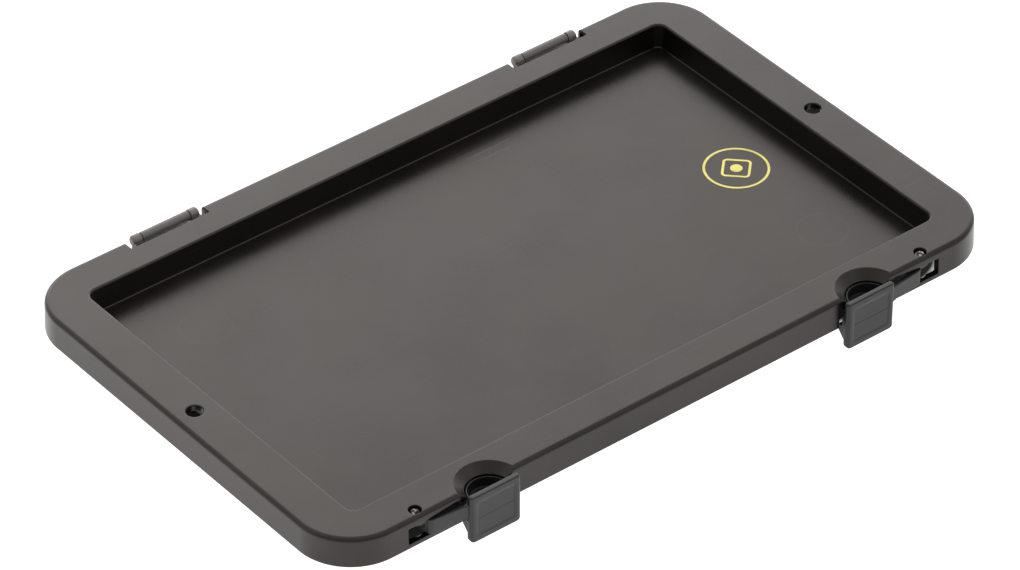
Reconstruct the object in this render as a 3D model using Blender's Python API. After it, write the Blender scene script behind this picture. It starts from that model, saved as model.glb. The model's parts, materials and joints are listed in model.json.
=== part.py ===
"""Hinged snap-on lid for a 300 x 200 mm stacking container, in metres, +Z up.

The lid is a dished panel with a deep rim. Two snap latches hang on its front edge
(-Y) and two container clips turn on pins along its back edge (+Y). Every piece is
drawn in the lid's own frame, whose origin is the middle of the rim's top face, and
is then moved up and back so that the whole part stands centred on the origin.
"""

import math

import bmesh
import bpy
from mathutils import Matrix, Vector

# Panel: outer size, rim and skirt.
LID_LENGTH = 0.2990
LID_WIDTH = 0.1862
CORNER_RADIUS = 0.0225
SKIRT_HEIGHT = 0.01215
WALL = 0.0024
TOP_FILLET = 0.0018
SKIRT_DRAFT = 0.0003

# Panel: the stacking recess in its top face.
RECESS_LENGTH = 0.2627
RECESS_WIDTH = 0.1532
RECESS_DEPTH = 0.0097
RECESS_CORNER = 0.0036
RECESS_DRAFT = 0.00065
RECESS_CHAMFER = 0.0004

# Seal holes through the rim at the middle of the short sides.
SEAL_HOLE_X = 0.1408
SEAL_HOLE_RADIUS = 0.0031

# Finger dishes in the front rim, one above each latch.
DISH_X = 0.0858
DISH_Y = -0.0937
DISH_TOP_RADIUS = 0.01215
DISH_LOW_RADIUS = 0.0084
DISH_DEPTH = 0.0030
DISH_WELL_DEPTH = 0.0052
DISH_WALL = 0.0020
DISH_TRIM = 0.0200

# Openings in the front skirt that the latches work through.
OPENING_NEAR = 0.0730
OPENING_FAR = 0.0970
WINDOW_NEAR = 0.0942
WINDOW_STEP = 0.0973
WINDOW_PEAK = 0.0990
WINDOW_BEND = 0.1115
WINDOW_FAR = 0.1199
WINDOW_TOP = 0.0034
WINDOW_PEAK_TOP = 0.0020
WINDOW_BOTTOM = 0.0102
SEAT_STEP = 0.0002
BOSS_NEAR = 0.1080
BOSS_FAR = 0.1235
BOSS_BACK = 0.0840

# Latch pin, upright, near the outer end of each latch.
LATCH_PIN_X = 0.1141
LATCH_PIN_Y = -0.0891
LATCH_PIN_RADIUS = 0.00195
LATCH_PIN_HOLE = 0.0023
LATCH_PIN_TOP = 0.0008
LATCH_PIN_BOTTOM = 0.0056

# Latch: pull plate, arm, eye, finger cup and hook.
PLATE_NEAR = 0.0738
PLATE_FAR = 0.0959
PLATE_FRONT = -0.0967
PLATE_BACK = -0.0943
PLATE_TOP = 0.0005
PLATE_BOTTOM = 0.0204
PLATE_CORNER = 0.0022
PLATE_TOP_CORNER = 0.0012
ARM_TOP = 0.0038
ARM_BOTTOM = 0.0099
ARM_THICKNESS = 0.0018
ARM_ROOT_FRONT = -0.0955
ARM_END_X = 0.1117
ARM_TIP_FRONT = -0.0936
ARM_END_BACK = -0.0857
ARM_BEND = 0.0024
ARM_OVERLAP = 0.0015
EYE_RADIUS = 0.0030
EYE_BOTTOM = 0.0052
CUP_RADIUS = 0.00805
CUP_WALL = 0.0010
CUP_TOP = 0.0034
CUP_FLOOR = 0.0072
CUP_FLOOR_THICKNESS = 0.0018
CUP_BOTTOM = 0.0120
HOOK_NEAR = 0.0756
HOOK_FAR = 0.0942
HOOK_TOP = 0.0082
HOOK_BOTTOM = 0.0185
HOOK_WEB_BACK = -0.0916
HOOK_NOSE_BACK = -0.0894
HOOK_NOSE_TOP = 0.0130
HOOK_NOSE_LOW = 0.0150
HOOK_NOSE_ROUND = 0.0007

# Hinges: notches in the back rim, knuckles on the panel, clips and their pins.
NOTCH_X = 0.0874
NOTCH_HALF = 0.0173
NOTCH_SHIFT = 0.0007
NOTCH_FRONT = 0.0878
NOTCH_WALL = 0.0020
NOTCH_WALL_DEPTH = 0.0075
HINGE_SHIFT = 0.0012
HINGE_Y = 0.0934
HINGE_DROP = 0.0023
HINGE_HALF = 0.0146
KNUCKLE_RADIUS = 0.0022
KNUCKLE_LENGTH = 0.0038
KNUCKLE_ROUND = 0.0009
KNUCKLE_WEB_DEPTH = 0.0058
KNUCKLE_BLIND = 0.0013
BARREL_RADIUS = 0.0020
BARREL_GAP = 0.0004
HINGE_PIN_RADIUS = 0.00075
HINGE_BORE_RADIUS = 0.00105
HINGE_PIN_SETBACK = 0.0003
CLIP_FRONT = 0.0928
CLIP_BACK = 0.0944
CLIP_BOTTOM = 0.0195
CLIP_BARB_FRONT = 0.0902
CLIP_BARB_TOP = 0.0136
CLIP_BARB_LOW = 0.0152
CLIP_ROUND = 0.0005
CLIP_WINDOW_HALF = 0.0050
CLIP_WINDOW_TOP = 0.0060
CLIP_WINDOW_BOTTOM = 0.0112

# How finely round shapes are divided, and how far a cutter runs past what it cuts.
CORNER_STEPS = 8
ROUND_STEPS = 32
ROD_STEPS = 24
PIN_STEPS = 16
PAST = 0.0010

# Where the lid's own frame stands in the part's frame.
HINGE_BACK = HINGE_Y + KNUCKLE_RADIUS
LID_FRAME = Vector((0.0, -(PLATE_FRONT + HINGE_BACK) / 2, PLATE_BOTTOM))

WARM_GREY = (0.130, 0.124, 0.116)
COOL_GREY = (0.092, 0.093, 0.094)
STEEL = (0.420, 0.425, 0.430)


def clear_scene():
    """Remove every object so that the script starts from an empty scene."""
    for obj in list(bpy.data.objects):
        bpy.data.objects.remove(obj, do_unlink=True)


def new_collection(name):
    """Add a collection to the scene."""
    collection = bpy.data.collections.new(name)
    bpy.context.scene.collection.children.link(collection)
    return collection


def new_material(name, colour, roughness, metallic):
    """Principled material of one colour."""
    material = bpy.data.materials.new(name)
    material.use_nodes = True
    shader = material.node_tree.nodes["Principled BSDF"]
    shader.inputs["Base Color"].default_value = (*colour, 1.0)
    shader.inputs["Roughness"].default_value = roughness
    shader.inputs["Metallic"].default_value = metallic
    material.diffuse_color = (*colour, 1.0)
    return material


def object_from_bmesh(name, mesh_data):
    """Wrap a bmesh as an object among the working shapes."""
    bmesh.ops.recalc_face_normals(mesh_data, faces=mesh_data.faces)
    mesh = bpy.data.meshes.new(name)
    mesh_data.to_mesh(mesh)
    mesh_data.free()
    obj = bpy.data.objects.new(name, mesh)
    TOOLS.objects.link(obj)
    obj.display_type = "WIRE"
    obj.hide_render = True
    return obj


def evaluated_mesh(obj):
    """New mesh of an object with its modifiers applied."""
    bpy.context.view_layer.update()
    depsgraph = bpy.context.evaluated_depsgraph_get()
    return bpy.data.meshes.new_from_object(obj.evaluated_get(depsgraph))


def box(name, x, y, z):
    """Block between two limits along each axis."""
    size = Vector((abs(x[1] - x[0]), abs(y[1] - y[0]), abs(z[1] - z[0])))
    middle = Vector((sum(x) / 2, sum(y) / 2, sum(z) / 2))
    matrix = Matrix.Translation(middle) @ Matrix.Diagonal((*size, 1.0))
    mesh_data = bmesh.new()
    bmesh.ops.create_cube(mesh_data, size=1.0, matrix=matrix)
    return object_from_bmesh(name, mesh_data)


def cone(name, x, y, z, radii):
    """Upright cone or cylinder; radii go with the two heights in z."""
    mesh_data = bmesh.new()
    bmesh.ops.create_cone(
        mesh_data,
        cap_ends=True,
        segments=ROUND_STEPS,
        radius1=radii[0],
        radius2=radii[1],
        depth=z[1] - z[0],
        matrix=Matrix.Translation((x, y, sum(z) / 2)),
    )
    return object_from_bmesh(name, mesh_data)


def rod(name, x, radius, steps):
    """Cylinder on the hinge axis between two limits along X."""
    turn = Matrix.Rotation(math.pi / 2, 4, "Y")
    mesh_data = bmesh.new()
    bmesh.ops.create_cone(
        mesh_data,
        cap_ends=True,
        segments=steps,
        radius1=radius,
        radius2=radius,
        depth=x[1] - x[0],
        matrix=Matrix.Translation((sum(x) / 2, HINGE_Y, -HINGE_DROP)) @ turn,
    )
    return object_from_bmesh(name, mesh_data)


def arc(centre, radius, start, end, steps):
    """Points on an arc, angles in degrees."""
    points = []
    for step in range(steps + 1):
        angle = math.radians(start + (end - start) * step / steps)
        points.append((centre[0] + radius * math.cos(angle), centre[1] + radius * math.sin(angle)))
    return points


def rounded(corners, steps=4):
    """Outline through corners given as (u, v, radius), each corner as an arc."""
    outline = []
    for index, (u, v, radius) in enumerate(corners):
        corner = Vector((u, v))
        if radius == 0:
            outline.append((u, v))
            continue
        before = (Vector(corners[index - 1][:2]) - corner).normalized()
        after = (Vector(corners[(index + 1) % len(corners)][:2]) - corner).normalized()
        half_angle = before.angle(after) / 2
        centre = corner + (before + after).normalized() * radius / math.sin(half_angle)
        first = corner + before * radius / math.tan(half_angle) - centre
        last = corner + after * radius / math.tan(half_angle) - centre
        sweep = math.atan2(first.cross(last), first.dot(last))
        for step in range(steps + 1):
            angle = sweep * step / steps
            turned = Matrix.Rotation(angle, 2) @ first
            outline.append(tuple(centre + turned))
    return outline


def prism(name, outline, axis, limits):
    """Flat outline drawn square to an axis and thickened between two limits along it."""
    curve = bpy.data.curves.new(name, "CURVE")
    curve.dimensions = "2D"
    curve.fill_mode = "BOTH"
    curve.extrude = abs(limits[1] - limits[0]) / 2
    spline = curve.splines.new("POLY")
    spline.points.add(len(outline) - 1)
    for point, (u, v) in zip(spline.points, outline):
        point.co = (u, v, 0.0, 1.0)
    spline.use_cyclic_u = True
    drawing = bpy.data.objects.new(name + "_outline", curve)
    TOOLS.objects.link(drawing)
    solid = evaluated_mesh(drawing)
    bpy.data.objects.remove(drawing, do_unlink=True)
    middle = sum(limits) / 2
    columns = {
        "X": ((0, 0, 1, middle), (1, 0, 0, 0), (0, 1, 0, 0), (0, 0, 0, 1)),
        "Y": ((1, 0, 0, 0), (0, 0, 1, middle), (0, 1, 0, 0), (0, 0, 0, 1)),
        "Z": ((1, 0, 0, 0), (0, 1, 0, 0), (0, 0, 1, middle), (0, 0, 0, 1)),
    }
    mesh_data = bmesh.new()
    mesh_data.from_mesh(solid)
    bpy.data.meshes.remove(solid)
    bmesh.ops.remove_doubles(mesh_data, verts=mesh_data.verts, dist=1e-7)
    bmesh.ops.transform(mesh_data, matrix=Matrix(columns[axis]), verts=mesh_data.verts)
    return object_from_bmesh(name, mesh_data)


def rounded_rectangle(half_x, half_y, radius):
    """Rounded rectangle about the origin, always with the same number of points."""
    outline = []
    for quarter, (sign_x, sign_y) in enumerate(((1, 1), (-1, 1), (-1, -1), (1, -1))):
        centre = (sign_x * (half_x - radius), sign_y * (half_y - radius))
        outline += arc(centre, radius, 90 * quarter, 90 * quarter + 90, CORNER_STEPS)
    return outline


def loft(name, sections):
    """Closed solid through rounded rectangles given as (half_x, half_y, radius, height)."""
    mesh_data = bmesh.new()
    rings = []
    for half_x, half_y, radius, height in sections:
        outline = rounded_rectangle(half_x, half_y, radius)
        rings.append([mesh_data.verts.new((x, y, height)) for x, y in outline])
    for lower, upper in zip(rings, rings[1:]):
        for index in range(len(lower)):
            follow = (index + 1) % len(lower)
            mesh_data.faces.new((lower[index], lower[follow], upper[follow], upper[index]))
    mesh_data.faces.new(rings[0])
    mesh_data.faces.new(rings[-1])
    return object_from_bmesh(name, mesh_data)


def combine(target, tool, operation):
    """Boolean a tool into a target and keep the modifier."""
    modifier = target.modifiers.new(tool.name, "BOOLEAN")
    modifier.operation = operation
    modifier.solver = "EXACT"
    modifier.object = tool


def add(target, *tools):
    """Union tools with a target."""
    for tool in tools:
        combine(target, tool, "UNION")


def cut(target, *tools):
    """Subtract tools from a target."""
    for tool in tools:
        combine(target, tool, "DIFFERENCE")


def finish_part(obj, name, material, pivot=(0.0, 0.0, 0.0)):
    """Turn a working shape into a finished piece whose origin is at its pivot."""
    mesh = evaluated_mesh(obj)
    mesh.name = name
    mesh.transform(Matrix.Translation(-Vector(pivot)))
    mesh.materials.clear()
    mesh.materials.append(material)
    mesh.shade_smooth()
    mesh.set_sharp_from_angle(angle=math.radians(35))
    part = bpy.data.objects.new(name, mesh)
    part.location = Vector(pivot) + LID_FRAME
    PARTS.objects.link(part)
    for modifier in list(obj.modifiers):
        obj.modifiers.remove(modifier)
    return part


def side_name(side):
    """Word that ends the names of the pieces on one side."""
    return "right" if side > 0 else "left"


def span(side, near, far):
    """Limits along X of something that lies between two distances on one side."""
    return tuple(sorted((side * near, side * far)))


def mirrored(side, outline):
    """Outline drawn for the right side, turned over for the left one."""
    return [(side * point[0], *point[1:]) for point in outline]


def hinge_middle(side):
    """Middle of the hinge along X on one side."""
    return side * NOTCH_X + NOTCH_SHIFT + HINGE_SHIFT


def panel_shell():
    """Rim, skirt and dished floor, hollow underneath for the container's rim."""
    half_x = LID_LENGTH / 2
    half_y = LID_WIDTH / 2
    outer_sections = [(half_x, half_y, CORNER_RADIUS, -SKIRT_HEIGHT)]
    for angle in (0, 30, 60, 90):
        inset = SKIRT_DRAFT + TOP_FILLET * (1 - math.cos(math.radians(angle)))
        height = TOP_FILLET * (math.sin(math.radians(angle)) - 1)
        outer_sections.append((half_x - inset, half_y - inset, CORNER_RADIUS - inset, height))
    shell = loft("panel_outer", outer_sections)
    inner = (half_x - WALL, half_y - WALL, CORNER_RADIUS - WALL)
    cut(shell, loft("panel_hollow", [(*inner, -SKIRT_HEIGHT - PAST), (*inner, -WALL)]))

    top_x = RECESS_LENGTH / 2
    top_y = RECESS_WIDTH / 2
    low = (top_x - RECESS_DRAFT, top_y - RECESS_DRAFT, RECESS_CORNER - RECESS_DRAFT / 2)
    tray_sections = [
        (low[0] + WALL, low[1] + WALL, low[2] + WALL, -RECESS_DEPTH - WALL),
        (top_x + WALL, top_y + WALL, RECESS_CORNER + WALL, -WALL / 2),
    ]
    add(shell, loft("panel_tray", tray_sections))
    above = RECESS_CHAMFER + PAST
    recess_sections = [
        (*low, -RECESS_DEPTH),
        (top_x, top_y, RECESS_CORNER, -RECESS_CHAMFER),
        (top_x + above, top_y + above, RECESS_CORNER + above, PAST),
    ]
    cut(shell, loft("panel_recess", recess_sections))
    return shell


def latch_seat(shell, side):
    """Finger dish, skirt openings and pin boss for the latch on one side."""
    tag = side_name(side)
    x = side * DISH_X
    front = -LID_WIDTH / 2
    band = (front - PAST, front + WALL + PAST)
    opening_heights = (-SKIRT_HEIGHT - PAST, -WALL - SEAT_STEP)
    cut(shell, box("opening_" + tag, span(side, OPENING_NEAR, OPENING_FAR), band, opening_heights))

    seat_heights = (-DISH_WELL_DEPTH, -TOP_FILLET + SEAT_STEP)
    seat_radii = (DISH_LOW_RADIUS + DISH_WALL, DISH_TOP_RADIUS + DISH_WALL)
    seat = cone("dish_wall_" + tag, x, DISH_Y, seat_heights, seat_radii)
    trim_y = (front - DISH_TRIM, front + SKIRT_DRAFT + SEAT_STEP)
    cut(seat, box("dish_trim_" + tag, (x - DISH_TRIM, x + DISH_TRIM), trim_y, (-DISH_TRIM, DISH_TRIM)))
    window_outline = mirrored(side, [
        (WINDOW_NEAR, -WINDOW_BOTTOM),
        (WINDOW_FAR, -WINDOW_BOTTOM),
        (WINDOW_FAR, -WINDOW_TOP),
        (WINDOW_BEND, -WINDOW_TOP),
        (WINDOW_PEAK, -WINDOW_PEAK_TOP),
        (WINDOW_STEP, -WINDOW_TOP),
        (WINDOW_NEAR, -WINDOW_TOP),
    ])
    add(shell, seat)
    cut(shell, prism("window_" + tag, window_outline, "Y", band))

    boss_y = (front + WALL / 2, -BOSS_BACK)
    boss_heights = (-WINDOW_TOP + SEAT_STEP, -WALL / 2)
    add(shell, box("boss_" + tag, span(side, BOSS_NEAR, BOSS_FAR), boss_y, boss_heights))

    slope = (DISH_TOP_RADIUS - DISH_LOW_RADIUS) / DISH_DEPTH
    dish_radii = (DISH_LOW_RADIUS, DISH_TOP_RADIUS + slope * PAST)
    well_heights = (-DISH_WELL_DEPTH - PAST, -DISH_DEPTH + PAST / 2)
    hole_heights = (-SKIRT_HEIGHT - PAST, PAST)
    cut(shell, cone("dish_" + tag, x, DISH_Y, (-DISH_DEPTH, PAST), dish_radii))
    cut(shell, cone("well_" + tag, x, DISH_Y, well_heights, (DISH_LOW_RADIUS,) * 2))
    hole_x = side * LATCH_PIN_X
    cut(shell, cone("pin_hole_" + tag, hole_x, LATCH_PIN_Y, hole_heights, (LATCH_PIN_HOLE,) * 2))


def hinge_notch(shell, side):
    """Notch in the back rim, with walls that close off the rim around it."""
    tag = side_name(side)
    back = LID_WIDTH / 2
    start = side * NOTCH_X + NOTCH_SHIFT - NOTCH_HALF
    end = start + 2 * NOTCH_HALF
    cut(shell, box("notch_" + tag, (start, end), (NOTCH_FRONT, back + PAST), (-SKIRT_HEIGHT - PAST, PAST)))
    wall_heights = (-NOTCH_WALL_DEPTH, -WALL / 2)
    front_y = (NOTCH_FRONT - NOTCH_WALL, NOTCH_FRONT)
    end_y = (NOTCH_FRONT - NOTCH_WALL / 2, back - WALL / 2)
    add(shell, box("notch_front_" + tag, (start - NOTCH_WALL, end + NOTCH_WALL), front_y, wall_heights))
    add(shell, box("notch_start_" + tag, (start - NOTCH_WALL, start), end_y, wall_heights))
    add(shell, box("notch_end_" + tag, (end, end + NOTCH_WALL), end_y, wall_heights))


def hinge_knuckles(shell, side):
    """Two bored knuckles that stand on webs in the notch."""
    tag = side_name(side)
    middle = hinge_middle(side)
    first = (middle - HINGE_HALF, middle - HINGE_HALF + KNUCKLE_LENGTH)
    last = (middle + HINGE_HALF - KNUCKLE_LENGTH, middle + HINGE_HALF)
    web_y = (NOTCH_FRONT - NOTCH_WALL / 2, HINGE_Y)
    for name, limits, outer_end in (("first", first, first[0]), ("last", last, last[1])):
        name = "%s_%s" % (name, tag)
        web = box("web_" + name, limits, web_y, (-KNUCKLE_WEB_DEPTH, -HINGE_DROP))
        knuckle = rod("knuckle_" + name, limits, KNUCKLE_RADIUS, ROD_STEPS)
        bevel_rim(knuckle, outer_end, KNUCKLE_ROUND)
        add(shell, web, knuckle)
    bore_limits = (first[0] + KNUCKLE_BLIND, last[1] + PAST / 2)
    cut(shell, rod("knuckle_bore_" + tag, bore_limits, HINGE_BORE_RADIUS, PIN_STEPS))


def bevel_rim(obj, end_x, width):
    """Round the edge of a rod where it ends."""
    mesh_data = bmesh.new()
    mesh_data.from_mesh(obj.data)
    rim = [edge for edge in mesh_data.edges if all(abs(v.co.x - end_x) < 1e-6 for v in edge.verts)]
    bmesh.ops.bevel(mesh_data, geom=rim, offset=width, segments=3, profile=0.5, affect="EDGES")
    mesh_data.to_mesh(obj.data)
    mesh_data.free()


def build_panel(material):
    """The lid's one-piece moulding."""
    shell = panel_shell()
    hole_heights = (-WALL - PAST, PAST)
    for side in (-1, 1):
        latch_seat(shell, side)
        hinge_notch(shell, side)
        hinge_knuckles(shell, side)
        name = "seal_hole_" + side_name(side)
        cut(shell, cone(name, side * SEAL_HOLE_X, 0.0, hole_heights, (SEAL_HOLE_RADIUS,) * 2))
    finish_part(shell, "lid_panel", material)


def latch_plate(side):
    """Pull plate in front of the skirt."""
    outline = rounded(mirrored(side, [
        (PLATE_NEAR, -PLATE_TOP, PLATE_TOP_CORNER),
        (PLATE_FAR, -PLATE_TOP, PLATE_TOP_CORNER),
        (PLATE_FAR, -PLATE_BOTTOM, PLATE_CORNER),
        (PLATE_NEAR, -PLATE_BOTTOM, PLATE_CORNER),
    ]))
    return prism("latch_plate_" + side_name(side), outline, "Y", (PLATE_FRONT, PLATE_BACK))


def latch_arm(side):
    """Springy arm that runs from the plate, turns in through the skirt and ends in an eye."""
    tag = side_name(side)
    start = PLATE_FAR - ARM_OVERLAP
    inner = ARM_END_X - ARM_THICKNESS
    outline = rounded(mirrored(side, [
        (start, ARM_ROOT_FRONT, 0),
        (ARM_END_X, ARM_TIP_FRONT, ARM_BEND),
        (ARM_END_X, ARM_END_BACK, 0),
        (inner, ARM_END_BACK, 0),
        (inner, ARM_TIP_FRONT + ARM_THICKNESS, ARM_BEND - ARM_THICKNESS),
        (start, ARM_ROOT_FRONT + ARM_THICKNESS, 0),
    ]))
    arm = prism("latch_arm_" + tag, outline, "Z", (-ARM_BOTTOM, -ARM_TOP))
    x = side * LATCH_PIN_X
    tab_x = span(side, inner + ARM_OVERLAP / 2, LATCH_PIN_X)
    tab_y = (LATCH_PIN_Y - EYE_RADIUS, LATCH_PIN_Y + EYE_RADIUS)
    tab = box("latch_tab_" + tag, tab_x, tab_y, (-EYE_BOTTOM, -ARM_TOP - SEAT_STEP))
    eye = cone("latch_eye_" + tag, x, LATCH_PIN_Y, (-EYE_BOTTOM, -ARM_TOP - SEAT_STEP), (EYE_RADIUS,) * 2)
    add(arm, tab, eye)
    return arm


def half_round(centre, radius, front):
    """Half circle at the back with straight sides that run to the front."""
    sides = ((centre[0] - radius, front), (centre[0] + radius, front))
    return [sides[1], *arc(centre, radius, 0, 180, ROUND_STEPS // 2), sides[0]]


def latch_cup(side):
    """Half-round wall and floor under the finger dish."""
    tag = side_name(side)
    centre = (side * DISH_X, DISH_Y)
    front = PLATE_BACK - PAST
    outer = half_round(centre, CUP_RADIUS, front)
    inner = half_round(centre, CUP_RADIUS - CUP_WALL, front)
    wall = prism("latch_cup_" + tag, outer + inner[::-1], "Z", (-CUP_BOTTOM, -CUP_TOP))
    floor_outline = half_round(centre, CUP_RADIUS - CUP_WALL / 2, front)
    floor_heights = (-CUP_FLOOR - CUP_FLOOR_THICKNESS, -CUP_FLOOR)
    return wall, prism("latch_floor_" + tag, floor_outline, "Z", floor_heights)


def latch_hook(side):
    """Hook behind the plate that catches under the container's rim."""
    outline = rounded([
        (PLATE_BACK - PAST, -HOOK_TOP, 0),
        (HOOK_WEB_BACK, -HOOK_TOP, 0),
        (HOOK_WEB_BACK, -HOOK_NOSE_TOP, 0),
        (HOOK_NOSE_BACK, -HOOK_NOSE_TOP, HOOK_NOSE_ROUND),
        (HOOK_NOSE_BACK, -HOOK_NOSE_LOW, 2 * HOOK_NOSE_ROUND),
        (HOOK_WEB_BACK - PAST, -HOOK_BOTTOM, 2 * HOOK_NOSE_ROUND),
        (PLATE_BACK - PAST, -HOOK_BOTTOM, 0),
    ])
    return prism("latch_hook_" + side_name(side), outline, "X", span(side, HOOK_NEAR, HOOK_FAR))


def build_latch(side, material):
    """One-piece snap latch: pull plate, arm with an eye, finger cup and hook."""
    tag = side_name(side)
    x = side * LATCH_PIN_X
    latch = latch_plate(side)
    add(latch, latch_arm(side), *latch_cup(side), latch_hook(side))
    bore_heights = (-EYE_BOTTOM - SEAT_STEP, -ARM_TOP + PAST)
    cut(latch, cone("latch_bore_" + tag, x, LATCH_PIN_Y, bore_heights, (LATCH_PIN_HOLE,) * 2))
    finish_part(latch, "latch_" + tag, material, (x, LATCH_PIN_Y, -ARM_BOTTOM))


def build_latch_pin(side, material):
    """Upright steel pin through the rim and the latch's eye."""
    name = "latch_pin_" + side_name(side)
    x = side * LATCH_PIN_X
    heights = (-LATCH_PIN_BOTTOM, -LATCH_PIN_TOP)
    pin = cone(name + "_rod", x, LATCH_PIN_Y, heights, (LATCH_PIN_RADIUS,) * 2)
    finish_part(pin, name, material, (x, LATCH_PIN_Y, -LATCH_PIN_BOTTOM))


def build_hinge_clip(side, material):
    """Barrel with a barbed leaf that snaps behind the container's rim."""
    name = "hinge_clip_" + side_name(side)
    middle = hinge_middle(side)
    half = HINGE_HALF - KNUCKLE_LENGTH - BARREL_GAP
    limits = (middle - half, middle + half)
    clip = rod(name + "_barrel", limits, BARREL_RADIUS, ROD_STEPS)
    leaf_outline = rounded([
        (CLIP_FRONT, -HINGE_DROP, 0),
        (CLIP_BACK, -HINGE_DROP, 0),
        (CLIP_BACK, -CLIP_BOTTOM, CLIP_ROUND),
        (CLIP_FRONT, -CLIP_BOTTOM, CLIP_ROUND),
        (CLIP_BARB_FRONT, -CLIP_BARB_LOW, CLIP_ROUND),
        (CLIP_BARB_FRONT, -CLIP_BARB_TOP, CLIP_ROUND / 2),
        (CLIP_FRONT, -CLIP_BARB_TOP, 0),
    ])
    add(clip, prism(name + "_leaf", leaf_outline, "X", limits))
    window_x = (middle - CLIP_WINDOW_HALF, middle + CLIP_WINDOW_HALF)
    window_y = (CLIP_BARB_FRONT - PAST, CLIP_BACK + PAST)
    cut(clip, box(name + "_window", window_x, window_y, (-CLIP_WINDOW_BOTTOM, -CLIP_WINDOW_TOP)))
    bore_limits = (limits[0] - PAST, limits[1] + PAST)
    cut(clip, rod(name + "_bore", bore_limits, HINGE_BORE_RADIUS, PIN_STEPS))
    finish_part(clip, name, material, (middle, HINGE_Y, -HINGE_DROP))


def build_hinge_pin(side, material):
    """Steel pin through the clip's barrel and both knuckles."""
    name = "hinge_pin_" + side_name(side)
    middle = hinge_middle(side)
    start = middle - HINGE_HALF + KNUCKLE_BLIND + HINGE_PIN_SETBACK
    end = middle + HINGE_HALF - HINGE_PIN_SETBACK
    pin = rod(name + "_rod", (start, end), HINGE_PIN_RADIUS, PIN_STEPS)
    finish_part(pin, name, material, (middle, HINGE_Y, -HINGE_DROP))


def build_lid():
    """Make every piece of the lid."""
    panel_plastic = new_material("panel_plastic", WARM_GREY, 0.48, 0.0)
    fitting_plastic = new_material("fitting_plastic", COOL_GREY, 0.42, 0.0)
    pin_steel = new_material("pin_steel", STEEL, 0.30, 1.0)
    build_panel(panel_plastic)
    for side in (-1, 1):
        build_latch(side, fitting_plastic)
        build_latch_pin(side, pin_steel)
        build_hinge_clip(side, fitting_plastic)
        build_hinge_pin(side, pin_steel)


clear_scene()
PARTS = new_collection("hinged_container_lid")
TOOLS = new_collection("cutters")
build_lid()
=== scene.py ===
"""Looks of the hinged container lid: fine surfaces, materials, light and camera.

Shapes are drawn in millimetres in the lid's own frame, whose origin is the middle of the
rim's top face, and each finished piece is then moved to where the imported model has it.
"""

import json
import math

import bmesh
import bpy
from mathutils import Matrix, Vector


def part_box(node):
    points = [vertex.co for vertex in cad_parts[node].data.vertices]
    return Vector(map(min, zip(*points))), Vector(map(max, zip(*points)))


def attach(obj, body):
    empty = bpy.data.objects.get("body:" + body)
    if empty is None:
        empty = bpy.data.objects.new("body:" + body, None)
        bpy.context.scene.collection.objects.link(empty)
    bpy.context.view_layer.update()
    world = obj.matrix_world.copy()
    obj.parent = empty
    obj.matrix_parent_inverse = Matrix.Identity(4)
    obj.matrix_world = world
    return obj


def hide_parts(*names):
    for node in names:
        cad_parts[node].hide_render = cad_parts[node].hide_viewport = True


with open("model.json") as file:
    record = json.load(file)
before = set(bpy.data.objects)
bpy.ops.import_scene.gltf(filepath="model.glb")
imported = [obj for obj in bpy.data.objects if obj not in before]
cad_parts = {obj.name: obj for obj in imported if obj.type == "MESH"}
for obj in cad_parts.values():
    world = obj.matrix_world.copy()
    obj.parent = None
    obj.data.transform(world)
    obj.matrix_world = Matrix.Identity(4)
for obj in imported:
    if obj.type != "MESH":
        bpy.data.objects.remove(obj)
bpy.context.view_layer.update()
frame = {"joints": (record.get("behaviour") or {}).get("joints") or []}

MM = 0.001
PANEL_LOW, PANEL_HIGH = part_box("lid_panel")
JOINTS = {joint["name"]: joint for joint in frame["joints"]}

# Panel: outer size, rim and skirt.
LID_LENGTH = (PANEL_HIGH.x - PANEL_LOW.x) / MM
LID_WIDTH = 186.2
CORNER_RADIUS = 22.5
SKIRT_HEIGHT = 12.15
SKIRT_DRAFT = 0.3
SKIRT_LIP = 0.45
WALL = 2.4
TOP_FILLET = 1.8
INNER_FILLET = 0.8
FRONT = -LID_WIDTH / 2
BACK = LID_WIDTH / 2
ORIGIN = Vector((0.0, PANEL_LOW.y - FRONT * MM, PANEL_HIGH.z))

# Panel: the stacking recess in its top face.
RECESS_LENGTH = 262.7
RECESS_WIDTH = 153.2
RECESS_DEPTH = 9.7
RECESS_CORNER = 3.6
RECESS_DRAFT = 0.65
RECESS_EDGE = 0.9
RECESS_LIP = 0.3
RECESS_FILLET = 0.5
TRAY_FILLET = 2.0

# Holes through the rim for a seal, at the middle of the short sides.
SEAL_HOLE_X = 140.8
SEAL_HOLE_RADIUS = 3.1
SEAL_HOLE_EDGE = 0.5

# Finger dishes in the front rim.
DISH_X = 85.8
DISH_Y = -93.7
DISH_TOP_RADIUS = 12.15
DISH_LOW_RADIUS = 8.4
DISH_DEPTH = 3.0
DISH_WELL_DEPTH = 5.2
DISH_WALL = 2.0
DISH_EDGE = 0.35
SEAT_STEP = 0.2

# Openings in the front skirt.
OPENING_NEAR = 73.0
OPENING_FAR = 97.0
WINDOW_NEAR = 94.2
WINDOW_STEP = 97.3
WINDOW_PEAK = 99.0
WINDOW_BEND = 111.5
WINDOW_FAR = 119.9
WINDOW_TOP = 3.4
WINDOW_PEAK_TOP = 2.0
WINDOW_BOTTOM = 10.2
WINDOW_ROUND = 0.35
BOSS_NEAR = 108.0
BOSS_FAR = 123.5
BOSS_BACK = -84.0

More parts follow.
